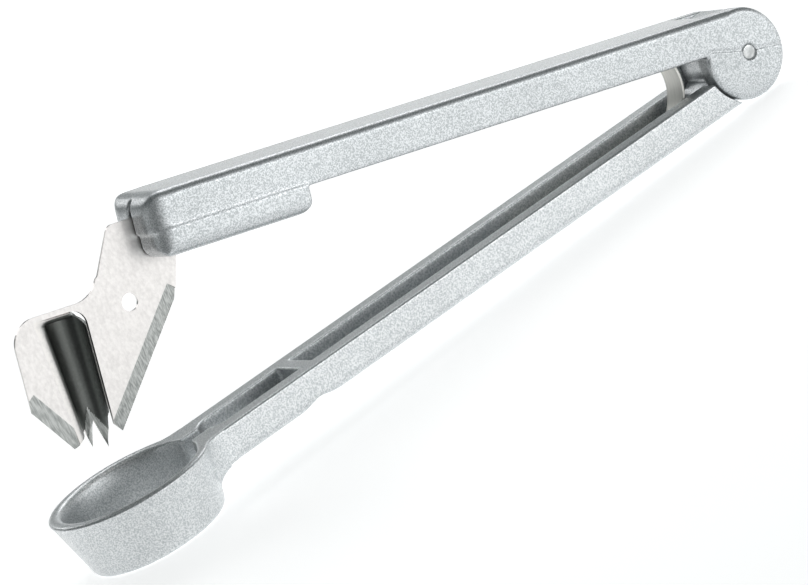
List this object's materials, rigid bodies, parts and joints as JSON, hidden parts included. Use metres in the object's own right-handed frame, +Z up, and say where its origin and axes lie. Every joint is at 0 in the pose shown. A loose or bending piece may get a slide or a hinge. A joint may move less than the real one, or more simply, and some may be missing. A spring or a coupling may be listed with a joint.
{
  "type": "hand plum stoner",
  "caption": "Hand tool with hinged cast arms: a spring holds it open, and squeezing it drives a cutting blade with a toothed pusher through a ring cup to halve and stone a plum.",
  "frame": {"origin": "centre of the bounding box at its base, on the plane that the cup's foot and the hinge head stand on", "axes": "+X from the cup towards the hinge, +Y across the arms away from the ground face of the blade, +Z up"},
  "size_m": [0.1939, 0.0356, 0.0595],
  "materials": {
    "upper_arm": "satin silver metallic lacquer with fine grain on die-cast aluminium",
    "lower_arm": "satin silver metallic lacquer with fine grain on die-cast aluminium",
    "blade": "stamped stainless sheet, rolled bright, with ground bevels",
    "hinge_pin": "plain drawn steel pin, ends flush",
    "spring": "rolled stainless spring strip, semi bright"
  },
  "bodies": {
    "lower_lever": {"lower_arm": "lower_arm", "spring": "spring"},
    "upper_lever": {"upper_arm": "upper_arm", "blade": "blade", "hinge_pin": "hinge_pin"}
  },
  "joints": [
    {"name": "arm_hinge", "type": "hinge", "parent": "lower_lever", "child": "upper_lever", "pos_m": [0.08794, 0, 0.00972], "axis": [0, -1, 0], "range_deg": [0, 13.5], "stiffness_Nm_per_rad": 1.9, "springref_deg": -7.45, "deforming": ["spring"]}
  ]
}
